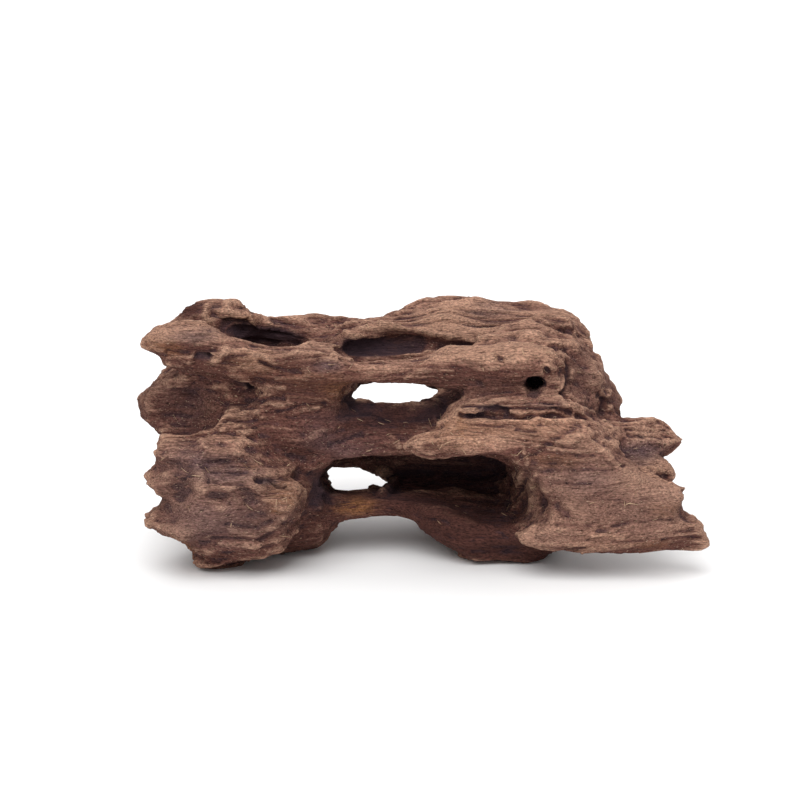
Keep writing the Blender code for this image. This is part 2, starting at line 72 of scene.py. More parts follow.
# Ledges run round the wood, and layers across its upper faces
WANDER_SIZE = (60, 20, 12)
LEDGE_DEPTH, LEDGE_HEIGHT = 0.6, 5.2
LEDGE_TILT, LEDGE_WANDER = 0.3, 0.8
LAYER_RISE, LAYER_WIDTH, LAYER_WANDER = 1.5, 8.0, 0.4
LAYER_SHARE = 0.4       # how much of the layers shows where no table says more
MOST_LAYERED = 1.3
RISE_SHARE, FALL_SHARE = 0.8, 0.2       # the slow rise and the short fall of a ledge, as shares of one step

# Values of the noise between which a crack deepens, and distances from its middle between which a pit ends
CRACK_SPAN = (0.4, 0.65)
PIT_SPAN = (0.05, 0.5)

# How strong the relief is: its swing from place to place, its limits, and where pits and crumbs begin
ROUGH_SWING, ROUGH_SIZE = 0.5, (40, 25, 22)
ROUGH_LIMITS = (0.25, 2)
PITS_FROM, CRUMBS_FROM = 0.4, 0.7
END_POWER = 1.5         # how fast the broken relief fades from the ends to the sides

# Shifts in mm that make each noise differ from the others
SHIFTS = {
    "rough": 900,
    "threads": 77,
    "bundles": 120,
    "splinters": 420,
    "wander": 15,
    "cracks": 333,
    "pits": 250,
    "crumbs": 610,
    "ends": 500,
}
BEND_SHIFT = 40
SHAKE_SHIFT = 31

# How many octaves a noise has, how they fade and shrink, and the sharpness of its ridges
OCTAVES = 2
OCTAVE_FADE, OCTAVE_STEP = 1.0, 2.0
RIDGE_OFFSET, RIDGE_GAIN = 1.0, 2.0

# Numbers that turn the middle of a cell into a height that looks drawn by chance
CHANCE_DIGITS = 2
CHANCE_TURN = (12.99, 78.23, 37.72)
CHANCE_SPREAD = 437.58

# Places that are rougher (+) or smoother (-) than the rest: pixel, radii along X and Z, strength
ROUGHER = [
    (610, 500, 60, 34, -0.75),
    (500, 356, 45, 12, -0.35),
    (480, 432, 40, 18, -0.3),
    (190, 400, 26, 22, -0.45),
    (330, 430, 55, 18, -0.3),
    (220, 505, 40, 30, 0.1),
    (530, 490, 16, 28, -0.7),
    (590, 365, 22, 30, 0.1),
    (560, 325, 24, 14, -0.3),
    (645, 450, 24, 20, -0.4),
    (265, 500, 16, 16, 0.4),
    (450, 318, 60, 14, -0.5),
    (490, 318, 70, 20, -0.6),
    (530, 305, 40, 16, -0.4),
    (545, 430, 34, 12, -0.4),
    (225, 520, 46, 28, -0.4),
    (318, 380, 36, 18, -0.4),
    (614, 388, 16, 24, -0.5),
    (385, 350, 34, 10, -0.3),
]

# Places worn so smooth that the broad ridges are nearly gone: pixel, radii along X and Z, strength
SMOOTHED = [
    (600, 500, 56, 28, 1.6),
    (660, 512, 26, 22, 0.8),
    (340, 432, 52, 16, 1.4),
    (490, 356, 42, 11, 1.0),
    (320, 378, 30, 12, 0.9),
    (500, 436, 46, 10, 0.8),
    (190, 405, 24, 22, 1.2),
    (196, 336, 26, 7, 0.5),
    (475, 386, 40, 10, 1.0),
    (220, 525, 30, 20, 0.5),
    (590, 368, 22, 30, 0.25),
    (528, 486, 14, 28, 0.9),
    (614, 388, 16, 24, 1.0),
    (400, 505, 40, 12, 0.7),
    (450, 318, 60, 14, 1.2),
    (490, 316, 74, 20, 1.5),
    (545, 432, 34, 12, 1.2),
    (240, 520, 42, 26, 0.9),
    (318, 380, 36, 18, 0.9),
    (645, 448, 22, 14, 0.6),
]
SMOOTHING = 110         # rounds of smoothing there
MOST_SMOOTHED = 0.85

# Places whose upper faces are worn into long layers more (+) or less (-) than the rest
LAYERED = [
    (470, 316, 84, 28, 1.0),
    (560, 320, 40, 20, 0.4),
    (500, 352, 50, 12, -0.35),
    (240, 500, 60, 40, -0.3),
]

# Narrow features of the front: half width, depth (+ a groove, - a ridge), pixels along it
STROKES = [
    (1.8, 2.4, [(162, 440), (185, 437), (206, 434), (218, 431)]),
    (1.4, 1.5, [(209, 462), (228, 461), (247, 462)]),
    (1.3, 1.3, [(211, 473), (230, 472), (247, 472)]),
    (1.2, 1.2, [(213, 483), (228, 483), (241, 483)]),
    (1.3, 1.2, [(211, 457), (226, 456), (243, 458)]),
    (1.6, 1.1, [(206, 460), (206, 470), (208, 482)]),
    (2.4, 4.0, [(257, 479), (265, 479), (274, 482), (283, 486)]),
    (2.4, -1.2, [(252, 486), (256, 484)]),
    (6.5, 3.2, [(243, 494), (250, 500)]),
    (9.0, 3.0, [(180, 482), (183, 490)]),
    (3.0, -1.6, [(231, 530), (243, 533), (257, 534), (273, 529), (284, 517)]),
    (2.0, 0.9, [(226, 524), (243, 526), (258, 527), (270, 522)]),
    (3.0, -1.6, [(221, 543), (240, 546), (262, 544), (282, 537)]),
    (2.0, 0.9, [(214, 537), (235, 539), (262, 538), (278, 531)]),
    (2.0, 0.8, [(190, 552), (215, 556), (244, 551), (276, 545)]),
    (4.0, -1.5, [(186, 500), (200, 496), (212, 500), (222, 508)]),
    (3.5, -1.5, [(198, 468), (202, 480), (204, 492)]),
    (5.0, -1.5, [(234, 376), (246, 379), (247, 390), (238, 404), (228, 416), (221, 430)]),
    (2.2, 2.4, [(246, 399), (262, 400), (283, 398)]),
    (2.5, -1.4, [(247, 388), (264, 388), (284, 387)]),
    (4.0, -2.0, [(244, 383), (258, 383)]),
    (1.8, 2.0, [(212, 434), (222, 432), (236, 434), (256, 440)]),
    (2.4, -1.6, [(216, 428), (228, 419), (246, 413), (258, 413)]),
    (1.4, 1.6, [(226, 424), (242, 421), (256, 420)]),
    (1.4, 1.6, [(222, 430), (240, 427), (256, 428)]),
    (1.8, 1.8, [(278, 412), (300, 406), (326, 404)]),
    (3.5, -1.5, [(310, 436), (330, 428), (352, 420), (372, 418)]),
    (2.4, 1.6, [(330, 446), (346, 440), (362, 434)]),
    (2.0, -0.7, [(390, 436), (398, 444), (402, 452)]),
    (2.0, 2.0, [(168, 351), (182, 352), (196, 350), (214, 349)]),
    (3.4, 6.0, [(199, 357), (203, 357), (207, 357)]),
    (3.0, -1.5, [(214, 362), (222, 356), (226, 350)]),
    (5.0, -2.2, [(228, 304), (238, 304), (246, 308)]),
    (2.4, -1.3, [(228, 352), (246, 351), (262, 356), (275, 364)]),
    (2.4, 1.8, [(262, 362), (280, 370), (300, 374)]),
    (3.0, -1.2, [(207, 305), (206, 314), (208, 322)]),
    (4.5, 3.0, [(214, 315), (228, 319), (246, 321)]),
    (6.0, 3.5, [(226, 327), (250, 331), (284, 337)]),
    (2.4, -1.8, [(333, 327), (350, 316), (384, 324), (420, 330), (450, 337), (482, 339)]),
    (6.0, 4.0, [(352, 348), (376, 349), (400, 348), (418, 346)]),
    (2.4, -1.4, [(407, 378), (420, 371), (436, 369), (452, 371)]),
    (6.0, -5.5, [(358, 407), (376, 411), (396, 412), (416, 411), (434, 406)]),
    (4.0, -3.6, [(382, 495), (388, 489), (394, 483)]),
    (4.0, -3.0, [(382, 472), (390, 475), (396, 479)]),
    (2.2, 2.0, [(499, 358), (502, 359)]),
    (2.0, 2.6, [(546, 369), (547, 372)]),
    (2.0, -1.8, [(548, 352), (556, 358), (562, 366), (562, 378), (560, 390)]),
    (2.0, 2.4, [(566, 352), (567, 366), (565, 384), (566, 398)]),
    (3.6, 3.0, [(536, 318), (548, 324), (564, 330), (578, 334)]),
    (4.0, 2.8, [(554, 346), (572, 352), (586, 366)]),
    (3.0, 2.6, [(600, 396), (606, 402), (603, 412)]),
    (2.6, 2.0, [(562, 392), (580, 402), (596, 408)]),
    (1.8, 2.0, [(462, 405), (480, 404), (500, 402), (530, 401), (560, 404)]),
    (3.0, 3.6, [(480, 409), (492, 408), (504, 411)]),
    (1.5, 1.8, [(506, 408), (530, 408), (556, 409), (572, 412)]),
    (2.0, 2.6, [(440, 418), (462, 415), (490, 417), (520, 417), (560, 416), (586, 417)]),
    (2.6, -1.4, [(440, 423), (470, 421), (510, 422), (550, 421), (582, 422)]),
    (1.6, 1.0, [(516, 429), (526, 430), (536, 430)]),
    (1.4, 0.7, [(510, 438), (526, 440), (540, 439)]),
    (4.0, -0.9, [(542, 466), (550, 453), (563, 444), (577, 436), (588, 428)]),
    (2.5, 0.8, [(536, 455), (545, 445), (559, 435), (573, 428)]),
    (3.0, -1.0, [(584, 424), (593, 440), (610, 457), (628, 473), (640, 480)]),
    (1.2, 0.9, [(566, 485), (578, 484), (590, 485)]),
    (1.1, 0.7, [(546, 484), (556, 483), (566, 485)]),
    (1.4, 1.1, [(612, 526), (632, 523), (652, 521), (672, 519)]),
    (1.1, 0.7, [(640, 527), (655, 526), (668, 527)]),
    (1.8, 1.3, [(662, 541), (680, 538), (700, 539)]),
    (1.8, -0.8, [(592, 536), (606, 535), (622, 538)]),
    (1.1, 0.6, [(560, 500), (590, 499), (620, 500)]),
    (1.1, 0.6, [(640, 500), (655, 498), (672, 499)]),
    (1.1, 0.6, [(572, 470), (590, 470), (606, 471)]),
    (4.0, 1.6, [(556, 508), (564, 514), (568, 518)]),
    (1.3, 1.5, [(628, 436), (648, 436), (670, 437)]),
    (1.1, 1.1, [(626, 430), (650, 430), (668, 431)]),
    (2.4, 1.4, [(594, 438), (602, 444), (612, 446)]),
    (1.6, 1.6, [(622, 466), (640, 468), (656, 476)]),
    (1.6, 1.4, [(658, 474), (668, 477)]),
    (2.0, -1.6, [(518, 486), (521, 474), (527, 462), (524, 450)]),
    (1.8, -1.5, [(506, 520), (512, 510), (520, 504)]),
    (1.8, -1.5, [(530, 500), (530, 486), (536, 474)]),
    (1.8, 1.8, [(514, 500), (520, 490), (526, 480)]),
]
SHAKE, SHAKE_SIZE = 0.8, (7, 4, 4)      # how far and how finely their edges waver
STROKE_POWER = 1.5      # how fast their depth fades from the middle to the edge
TINY = 1e-9             # keeps a stroke of no length from dividing by zero

# Places of the front where a colour shows more: pixel, radii along X and Z, strength
OCHRE = [
    (356, 507, 17, 8, 1.2),
    (283, 497, 14, 13, 0.55),
    (276, 512, 4, 3, 0.7),
    (188, 549, 6, 10, 0.8),
    (172, 538, 5, 5, 0.6),
    (171, 349, 9, 7, 0.6),
    (150, 344, 10, 5, 0.5),
    (243, 320, 12, 4, 0.7),
    (340, 389, 14, 9, 0.5),
    (250, 466, 7, 3, 0.4),
    (462, 425, 3, 9, 0.6),
    (655, 545, 16, 4, 0.4),
    (555, 460, 20, 6, 0.4),
    (664, 510, 14, 6, 0.4),
    (155, 376, 4, 10, 0.5),
    (398, 344, 16, 8, 0.3),
    (318, 380, 34, 16, 0.2),
    (460, 430, 36, 14, 0.35),
    (540, 425, 30, 12, 0.25),
    (250, 365, 20, 12, 0.3),
]
ASH = [
    (225, 470, 26, 10, 0.9),
    (190, 455, 20, 12, 0.6),
    (215, 520, 34, 22, 0.5),
    (340, 440, 34, 22, 0.6),
    (326, 366, 16, 5, 0.9),
    (196, 336, 22, 5, 0.7),
    (640, 451, 22, 8, 0.9),
    (545, 403, 14, 4, 0.8),
    (590, 480, 26, 10, 0.35),
    (490, 310, 22, 6, 0.5),
    (190, 405, 26, 26, 0.3),
]
TAN = [
    (490, 352, 44, 12, 1.1),
    (600, 540, 30, 12, 0.3),
    (200, 398, 24, 26, 0.5),
    (650, 480, 32, 10, 0.8),
    (590, 370, 32, 38, 0.3),
    (532, 486, 20, 40, 0.9),
    (560, 540, 60, 12, 0.4),
    (455, 428, 30, 14, 0.4),
    (520, 432, 34, 12, 0.3),
    (560, 422, 40, 6, 0.35),
    (450, 331, 54, 8, 1.0),
    (180, 330, 30, 6, 0.4),
    (475, 343, 40, 7, 0.4),
    (200, 333, 34, 5, 0.6),
    (264, 391, 14, 7, 0.9),
    (250, 360, 18, 10, 0.7),
    (350, 358, 30, 4, 0.5),
    (245, 418, 12, 8, 0.7),
    (645, 471, 24, 9, 1.0),
    (648, 433, 20, 4, 0.7),
    (612, 428, 16, 8, 0.6),
    (610, 505, 50, 26, 0.35),
    (530, 545, 14, 10, 0.5),
    (607, 537, 6, 4, 0.8),
    (560, 345, 20, 16, 0.3),
    (245, 445, 26, 6, 0.5),
    (222, 312, 12, 5, 0.4),
    (650, 510, 34, 22, 0.4),
    (585, 455, 26, 12, 0.3),
    (470, 308, 70, 12, 1.0),
    (560, 330, 30, 12, 0.4),
    (525, 490, 14, 30, 0.9),
    (220, 515, 40, 24, 0.3),
    (640, 450, 24, 10, 0.6),
    (500, 345, 40, 8, 0.3),
    (534, 389, 9, 9, 0.5),
]
# Dark wood, and painted shadow: in the hollows at the top, along the lower rim of the front hole, and on the
# sill and foot under the overhang
DARK_AND_SHADOWED = [
    (338, 507, 22, 12, 0.5),
    (145, 412, 14, 30, 0.5),
    (375, 415, 40, 10, 1.0),
    (455, 515, 36, 14, 1.0),
    (442, 508, 28, 12, 1.0),
    (480, 525, 30, 14, 0.6),
    (440, 530, 20, 14, 0.6),
    (520, 548, 26, 12, 0.7),
    (330, 538, 20, 16, 0.4),
    (360, 411, 18, 5, 1.0),
    (395, 413, 24, 5, 1.0),
    (425, 410, 16, 6, 0.8),
    (318, 380, 34, 16, 0.3),
    (376, 347, 32, 8, 1.0),
    (262, 333, 36, 7, 1.0),
    (340, 430, 54, 20, 0.45),
    (265, 430, 20, 18, 0.3),
    (186, 312, 14, 7, 1.0),
    (400, 503, 44, 12, 1.0),
    (470, 515, 50, 20, 1.0),
    (470, 545, 60, 14, 1.0),
    (545, 556, 20, 8, 0.8),
    (470, 380, 50, 7, 0.2),
    (190, 350, 20, 4, 0.5),
    (460, 485, 50, 20, 0.6),
    (480, 530, 50, 20, 0.3),
    (480, 387, 40, 8, 0.1),
    (190, 308, 16, 5, 0.4),
    (578, 368, 14, 14, 0.5),
    (560, 325, 20, 8, 0.4),
    (300, 405, 30, 14, 0.3),
    (300, 540, 24, 14, 0.4),
    (240, 540, 40, 12, 0.25),
    (318, 488, 12, 17, 0.8),
    (455, 370, 40, 5, 0.35),
]

# Places with less contrast between ridges and grooves
EVEN = [
    (225, 505, 50, 34, 1.0),
    (180, 500, 26, 34, 0.9),
    (270, 505, 24, 28, 0.8),
    (200, 462, 40, 18, 0.7),
    (600, 495, 60, 30, 0.8),
    (660, 515, 30, 24, 0.8),
    (545, 540, 26, 14, 0.6),
    (560, 470, 30, 20, 0.5),
    (590, 385, 30, 36, 0.6),
    (640, 448, 24, 12, 0.6),
    (190, 402, 28, 28, 0.3),
    (530, 486, 14, 30, 0.6),
    (534, 389, 9, 9, 1.0),
    (475, 388, 40, 12, 0.35),
]

# Places shaded more (+) or less (-) than their shelter alone would make them
DEEP = [
    (376, 345, 34, 10, 0.15),
    (268, 481, 14, 4, 0.8),
    (345, 342, 16, 8, 0.6),
    (360, 348, 16, 7, 0.3),
    (380, 349, 16, 7, 0.3),
    (400, 348, 18, 7, 0.3),
    (528, 488, 14, 30, -1.0),
    (192, 402, 26, 26, -0.4),
    (475, 388, 44, 12, -0.3),
    (531, 388, 10, 8, -1.0),
    (390, 484, 12, 9, 1.0),
    (262, 333, 34, 8, 1.0),
    (240, 326, 14, 7, 0.8),
    (203, 357, 8, 4, 1.0),
    (480, 407, 22, 3, 0.7),
    (318, 488, 12, 17, 1.0),
    (310, 502, 8, 12, 0.5),
]
PATCH_REACH = 22        # how far any of these places reaches along Y

# Tables whose strength at each point of the skin is kept for its material, by attribute name
PATCHES = {"ochre": OCHRE, "ash": ASH, "tan": TAN, "dark": DARK_AND_SHADOWED, "even": EVEN, "deep": DEEP}

# Rounds of smoothing: to find how far a point stands out, and then to soften what was found
FINE_ROUNDS, FINE_SOFTENING = 5, 1
BROAD_ROUNDS, BROAD_SOFTENING = 60, 2
SHELTER_SOFTENING = 3

# Rays that find how closed in a point is
SHELTER_REACH = 45
SHELTER_RAYS = 18
RAY_START = 0.3         # how far above the surface they start

# Colours of the wood, among them painted shade for the fine grooves and for the hollows
GROOVE_SHADE = (0.045, 0.030, 0.040, 1)
SHADE_WOOD = (0.072, 0.046, 0.058, 1)
DARK_WOOD = (0.072, 0.028, 0.023, 1)
MID_WOOD = (0.195, 0.083, 0.064, 1)
TAN_WOOD = (0.49, 0.277, 0.192, 1)
PALE_WOOD = (0.72, 0.50, 0.35, 1)
OCHRE_WOOD = (0.31, 0.135, 0.056, 1)
ASH_WOOD = (0.135, 0.084, 0.092, 1)
EVEN_WOOD = (0.25, 0.136, 0.108, 1)
# Pale edges of fibres: wear, and partly painted highlight
WORN_AND_HIGHLIT_WOOD = (0.60, 0.37, 0.26, 1)

# Streaks of noise along the grain: size in mm along X, Y and Z, detail, and a shift that tells them apart
STREAKS = {
    "wide": ((60, 7, 5), 3, 3),
    "middle": ((34, 3.2, 2.4), 3, 5),
    "narrow": ((16, 1.4, 1.0), 3, 11),
    "hairs": ((9, 0.45, 0.35), 2, 29),
    "blotches": ((28, 20, 14), 3, 47),
    "specks": ((1.6, 0.7, 0.6), 2, 71),
    "grit": ((1.5, 0.8, 0.7), 3, 53),
}
STREAK_ROUGHNESS = 0.6
PLAIN_DETAIL = 2.0      # detail of the noise that has no direction

# What each look follows: the weights of attributes and streaks
STREAKED = {"wide": 0.4, "middle": 0.3, "narrow": 0.3}
# The tan of wear on ridges and patches, with painted light on the faces that look up (the upward weight)
WORN_AND_TOPLIT = {
    "fine_ridge": 0.8,
    "broad_ridge": 0.24,
    "upward": 0.42,
    "tan": 0.75,
    "dark": -0.9,
    "blotches": 0.8,
    "narrow": 0.8,
    "middle": 0.5,
}
GRAINY = {"grit": 0.6, "hairs": 0.4}
SHADED = {"shelter": 1.0, "dark": 0.2, "deep": 0.4, "tan": -0.25}
RAISED = {"middle": 0.9, "narrow": 0.8, "hairs": 0.6, "specks": 0.5}

# Values between which each look fades in
STREAKED_SPAN = (0.3, 0.62)
WORN_AND_TOPLIT_SPAN = (0.95, 2.3)
EDGE_SPAN, EDGE_HAIR_SPAN = (0.18, 0.6), (0.35, 0.55)
BLOTCH_SPAN = (0.3, 0.6)
GROOVE_SPAN = (0.03, 0.4)
THREAD_SPAN = (-0.46, -0.3)
HAIR_SPAN = (0.55, 0.68)
SPECK_SPAN = (0.63, 0.71)
SHADED_SPAN = (0.22, 0.75)

# How far each paint covers what is under it, at most
TAN_COVER = 0.95
DARK_AND_SHADOW_COVER = 0.75
EVEN_COVER = 0.6
WORN_AND_HIGHLIT_COVER = 0.4
ASH_COVER = 0.9
OCHRE_COVER = 0.85
GROOVE_SHADE_COVER = 0.6
THREAD_COVER = 0.55
HAIR_COVER = 0.6
PALE_COVER = 0.65
SHADE_COVER = 0.8

# Grit makes the colour darker and lighter: from these values of the noise to these factors
GRIT_SPAN, GRIT_SHADES = (0.3, 0.7), (0.05, 2.1)

# The surface of the wood
WOOD_ROUGH_SPAN, WOOD_ROUGHNESS = (0.2, 0.8), (0.72, 0.97)
WOOD_SPECULAR = 0.1
WOOD_BUMP = 2.2

# Loose splinters on the surface
FIBRES = 240
FIBRE_SEED = 11
FIBRE_STEPS = 4
FIBRE_LENGTH = (1.4, 3.8)
LONG_FIBRE = (3.0, 6.5)
FIBRE_THICKNESS = (0.10, 0.2)
FIBRE_SECTION = ((-1, 0), (0, 0.7), (1, 0))     # corners of a sliver, across it and up
FIBRE_TURN = (1, 0.6, 0.6)      # how the slivers' directions spread along X, Y and Z
FIBRE_BEND = 0.25       # how far a sliver bends sideways, as a share of its length
FIBRE_TIP = 0.25        # thickness of its tips, as a share of its middle's
FIBRE_TAPER = 0.12      # where its taper starts, as a share of half a wave
FIBRE_RISE = 0.12       # how far it lies above the wood
FIBRE_LIFT = 0.16       # how far its loose end stands up, as a share of its length

# Sight lines that find places for them: from all round and above, towards the middle of the wood
LOWEST_AIM = -0.15
HEART_LOW = (-120, -45, 15)
HEART_HIGH = (120, 45, 105)
FAR = 400

# Colour and surface of the splinters
FIBRE_PALE = (0.68, 0.47, 0.30, 1)
FIBRE_DARK = (0.25, 0.13, 0.08, 1)
FIBRE_TINT_SCALE, FIBRE_TINT_SPAN = 130.0, (0.35, 0.65)
FIBRE_FINE_SCALE, FIBRE_ROUGHNESS = 2400.0, (0.6, 0.9)
FIBRE_BUMP, FIBRE_BUMP_SHARE = 0.1, 0.5
FIBRE_SPECULAR = 0.2

# Pixels at which a longer splinter lies
FIBRE_PIXELS = [
    (189, 508), (187, 507), (163, 458), (185, 472), (197, 476), (207, 470), (246, 466), (258, 463),
    (249, 508), (208, 536), (276, 503), (281, 512), (284, 536), (222, 402), (212, 374), (213, 363),
    (216, 360), (175, 418), (268, 352), (262, 350), (381, 424), (388, 420), (405, 422), (430, 423),
    (396, 442), (545, 372), (541, 378), (529, 381), (533, 383), (560, 366), (513, 462), (518, 470),
    (520, 480), (516, 492), (508, 508), (512, 514), (526, 456), (520, 452), (530, 470), (624, 504),
    (628, 503), (632, 503), (602, 466), (552, 447), (360, 420), (514, 455), (519, 461), (516, 474),
    (524, 484), (510, 500), (505, 515), (513, 523), (534, 487), (531, 505), (448, 442), (455, 446),
    (441, 447), (463, 449), (500, 452), (507, 456), (284, 499), (287, 507), (272, 497),
]

# The studio, in metres: half the floor's side, and how far below the wood it lies
FLOOR_REACH = 6.0
FLOOR_DROP = 0.0002
FLOOR_SHADES = ((0.93, 0.93, 0.93, 1), (0.95, 0.95, 0.95, 1))
FLOOR_NOISE_SCALE = 3.0
FLOOR_ROUGHNESS = 0.9
ROOM_LIGHT = 0.5

# Soft lamps: name, where the light comes from, strength, breadth in degrees
LAMPS = (
    ("key", (-0.35, -0.8, 1.5), 2.35, 55),
    ("back", (0.5, 0.9, 1.2), 1.1, 80),
)


def camera_turn():
    """The turn of the camera, from its place to its target."""
    return (Vector(CAMERA_TARGET) - Vector(CAMERA_AT)).to_track_quat("-Z", "Y")


def sight(px, py):
    """Start and direction of the sight line through a pixel of the photograph."""
    width = SENSOR / LENS
    ray = Vector(((px / PHOTO_SIDE - 0.5) * width, (0.5 - py / PHOTO_SIDE) * width, -1))
    return Vector(CAMERA_AT), (camera_turn() @ ray).normalized()


def on_wood(tree, px, py):
    """The point of the wood that a pixel of the photograph shows, or None beside it."""
    return tree.ray_cast(*sight(px, py))[0]


def placed(tree, table):
    """A table of places by pixel as a table of places in space: centre, radii, strength."""
    rows = []
    for px, py, rx, rz, strength in table:
        spot = on_wood(tree, px, py)
        if spot:
            rows.append((*spot, rx, PATCH_REACH, rz, strength))
    return rows


def ridged(points, scale, octaves=OCTAVES):
    """Sharp ridges of noise, about -1 to 0.7, stretched to a scale in mm along each axis."""
    places = (points / np.array(scale)).tolist()
    shape = OCTAVE_FADE, OCTAVE_STEP, octaves, RIDGE_OFFSET, RIDGE_GAIN
    return np.array([noise.ridged_multi_fractal(p, *shape) for p in places]) - 1


def cloudy(points, scale):
    """Soft noise, about -1 to 1."""
    places = (points / np.array(scale)).tolist()
    return np.array([noise.fractal(p, OCTAVE_FADE, OCTAVE_STEP, OCTAVES) for p in places])


def wavering(points, scale, shift):
    """Soft noise of its own along X, Y and Z."""
    return np.stack([cloudy(points + shift * k, scale) for k in (1, 2, 3)], axis=1)


def cells(points, scale):
    """Cells like bundles of fibres: distance to the middle, distance to the seam, a height of -1 to 1."""
    places = (points / np.array(scale)).tolist()
    near, seam, middles = [], [], []
    for p in places:
        distances, centres = noise.voronoi(p)
        near.append(distances[0])
        seam.append(distances[1] - distances[0])
        middles.append(centres[0])
    heights = np.sin(np.round(np.array(middles), CHANCE_DIGITS) @ CHANCE_TURN) * CHANCE_SPREAD
    return np.array(near), np.array(seam), 2 * (heights - np.floor(heights)) - 1


def ramp(values, low, high):
    """0 below low, 1 above high, smooth between."""
    t = np.clip((values - low) / (high - low), 0, 1)
    return t * t * (3 - 2 * t)


def steps(height):
    """A ledge for each whole number: a slow rise and a short fall, -0.5 to 0.5."""
    share = height - np.floor(height)
    return np.where(share < RISE_SHARE, share / RISE_SHARE, (1 - share) / FALL_SHARE) - 0.5


def zones(points, table):
    """The sum over a table of bumps: centre, radii along X, Y and Z, height."""
    total = np.zeros(len(points))
    for x, y, z, rx, ry, rz, height in table:
        r2 = (((points - (x, y, z)) / (rx, ry, rz)) ** 2).sum(axis=1)
        total += height * np.where(r2 < 1, (1 - r2) ** 2, 0)
    return total


def points_of(mesh):
    """The points of a mesh, in mm."""
    points = np.empty(len(mesh.vertices) * 3)
    mesh.vertices.foreach_get("co", points)
    return points.reshape(-1, 3) / MM


def normals_of(mesh):
    normals = np.empty(len(mesh.vertices) * 3)
    mesh.vertices.foreach_get("normal", normals)
    return normals.reshape(-1, 3)


def edges_of(mesh):
    ends = np.empty(len(mesh.edges) * 2, int)
    mesh.edges.foreach_get("vertices", ends)
    return ends.reshape(-1, 2)


def tree_of(mesh):
    """A mesh as a tree for sight lines, in mm."""
    faces = [tuple(face.vertices) for face in mesh.polygons]
    return BVHTree.FromPolygons(points_of(mesh).tolist(), faces)


def move_points(mesh, points):
    """Puts the points of a mesh at places given in mm."""
    mesh.vertices.foreach_set("co", (points * MM).ravel())
    mesh.update()


def settle(obj):
    """Replaces an object's mesh with what its modifiers make of it."""
    graph = bpy.context.evaluated_depsgraph_get()
    made = bpy.data.meshes.new_from_object(obj.evaluated_get(graph))
    obj.modifiers.clear()
    obj.data = made


def eased(values, edges, rounds):
    """Values at the points of a mesh, each averaged with its neighbours a number of times."""
    ends = np.concatenate([edges, edges[:, ::-1]])
    count = np.maximum(np.bincount(ends[:, 0], minlength=len(values)), 1)
    for _ in range(rounds):
        total = np.bincount(ends[:, 0], values[ends[:, 1]], minlength=len(values))
        values = 0.5 * values + 0.5 * total / count
    return values


def eased_points(points, edges, rounds):
    """Points of a mesh, smoothed."""
    return np.stack([eased(points[:, k], edges, rounds) for k in range(3)], axis=1)


def grain_space(points):
    """Points bent so that straight lines along X there follow the wandering grain."""
    return points + wavering(points, BEND_SIZE, BEND_SHIFT) * BEND


def scored(points, tree):
    """Depth of the listed grooves and ridges at each point, in mm."""
    total = np.zeros(len(points))
    points = points + SHAKE * wavering(points, SHAKE_SIZE, SHAKE_SHIFT)
    for width, depth, pixels in STROKES:
        spots = [on_wood(tree, *pixel) for pixel in pixels]
        spots = [np.array(spot) for spot in spots if spot]
        strongest = np.zeros(len(points))
        for a, b in zip(spots, spots[1:]):
            close = ((points > np.minimum(a, b) - width) & (points < np.maximum(a, b) + width)).all(axis=1)
            some = points[close]
            along = np.clip((some - a) @ (b - a) / max((b - a) @ (b - a), TINY), 0, 1)
            apart = np.linalg.norm(some - a - along[:, None] * (b - a), axis=1)
            share = np.clip(1 - (apart / width) ** 2, 0, 1) ** STROKE_POWER
            strongest[close] = np.maximum(strongest[close], share)
        total += depth * strongest
    return total


def roughness(points, tree):
    """How strong the fine relief is at each point."""
    swing = cloudy(points + SHIFTS["rough"], ROUGH_SIZE)
    rough = 1 + ROUGH_SWING * swing + zones(points, placed(tree, ROUGHER))
    return np.clip(rough, *ROUGH_LIMITS)


def layers_of(points, bent, normals, wander, tree):
    """Long thin layers across the upper faces, one behind the other."""
    layers = steps(-bent[:, 1] / LAYER_WIDTH - LAYER_WANDER * wander) * np.clip(normals[:, 2], 0, 1) ** 2
    return layers * np.clip(LAYER_SHARE + zones(points, placed(tree, LAYERED)), 0, MOST_LAYERED)


